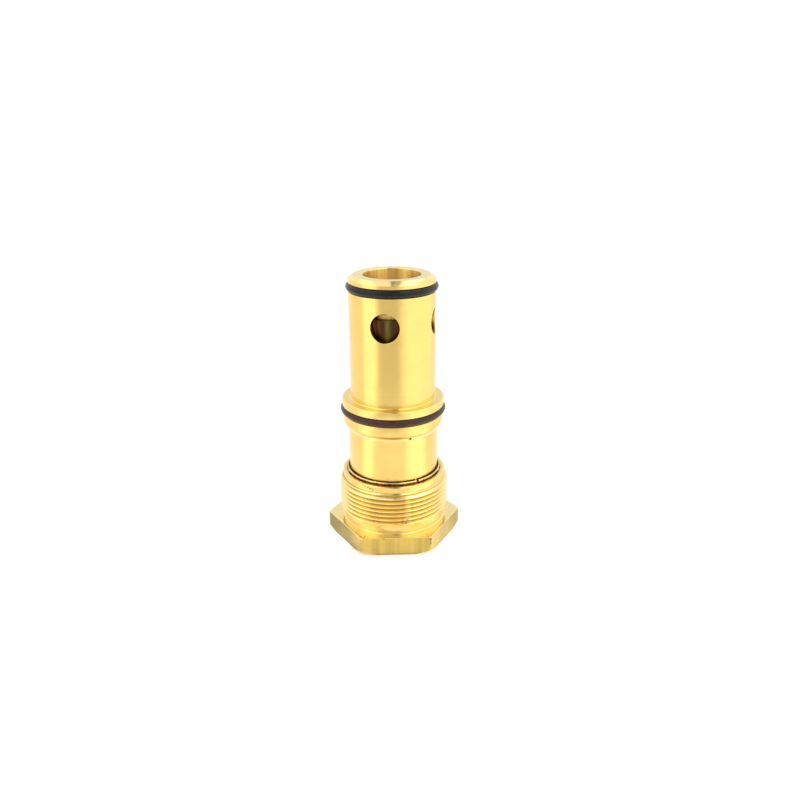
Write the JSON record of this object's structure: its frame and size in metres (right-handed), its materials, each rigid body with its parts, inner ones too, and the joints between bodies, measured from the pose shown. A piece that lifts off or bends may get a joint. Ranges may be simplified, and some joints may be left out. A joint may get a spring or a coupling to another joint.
{
  "type": "cartridge valve",
  "caption": "Screw-in pressure-holding check cartridge: brass hex plug, floating sleeve with nose bore and side ports, O-rings, spring-loaded piston and poppet.",
  "frame": {"origin": "centre of the hexagon's end face, which the valve stands on", "axes": "+Z along the valve's axis from the hexagon to the open nose; -Y is the side that one hexagon flat and one side port face"},
  "size_m": [0.0444, 0.0392, 0.0878],
  "materials": {
    "sleeve_brass": "fine-turned satin brass",
    "plug_brass": "turned brass with drawn-bar hexagon flats",
    "inner_brass": "turned brass",
    "piston_bronze": "dark burnished bronze",
    "nose_rubber": "glossy black nitrile rubber",
    "flange_rubber": "dark brown fluoro rubber",
    "inner_rubber": "black nitrile rubber",
    "guide_plastic": "filled slide plastic",
    "spring_steel": "bright spring steel wire",
    "zinc_steel": "zinc-plated steel"
  },
  "bodies": {
    "plug": {"hex_plug": "plug_brass", "lock_nut": "zinc_steel", "retaining_wire": "spring_steel"},
    "sleeve": {"valve_sleeve": "sleeve_brass", "nose_o_ring": "nose_rubber", "flange_o_ring": "flange_rubber", "snap_ring": "spring_steel", "main_spring": "spring_steel"},
    "piston": {"piston": "piston_bronze", "piston_o_ring": "inner_rubber", "piston_guide_ring": "guide_plastic", "check_spring": "spring_steel"},
    "poppet": {"check_poppet": "inner_brass", "poppet_seal": "inner_rubber", "seal_retainer": "zinc_steel", "retainer_screw": "zinc_steel", "stem_circlip": "spring_steel"},
    "spring_seat": {"spring_seat": "inner_brass", "preload_shim": "zinc_steel", "thrust_ball": "zinc_steel"},
    "adjuster": {"adjusting_screw": "zinc_steel", "adjusting_screw_o_ring": "inner_rubber"}
  },
  "joints": [
    {"name": "sleeve_swivel", "type": "hinge", "parent": "plug", "child": "sleeve", "pos_m": [0, 0, 0.0162], "axis": [0, 0, 1], "continuous": true},
    {"name": "piston_slide", "type": "slide", "parent": "sleeve", "child": "piston", "axis": [0, 0, -1], "range_m": [0, 0.0065], "stiffness_N_per_m": 8000, "springref_m": -0.0144, "deforming": ["main_spring"]},
    {"name": "poppet_slide", "type": "slide", "parent": "piston", "child": "poppet", "axis": [0, 0, -1], "range_m": [0, 0.0018], "stiffness_N_per_m": 500, "springref_m": -0.004, "deforming": ["check_spring"]},
    {"name": "adjuster_travel", "type": "slide", "parent": "plug", "child": "spring_seat", "axis": [0, 0, -1], "range_m": [0, 0.001]},
    {"name": "adjuster_turn", "type": "hinge", "parent": "spring_seat", "child": "adjuster", "pos_m": [0, 0, 0.006], "axis": [0, 0, -1], "range_deg": [0, 360]}
  ],
  "couplings": [
    {"joint": "adjuster_turn", "follows": "adjuster_travel", "rad_per_m": 6283.2}
  ]
}
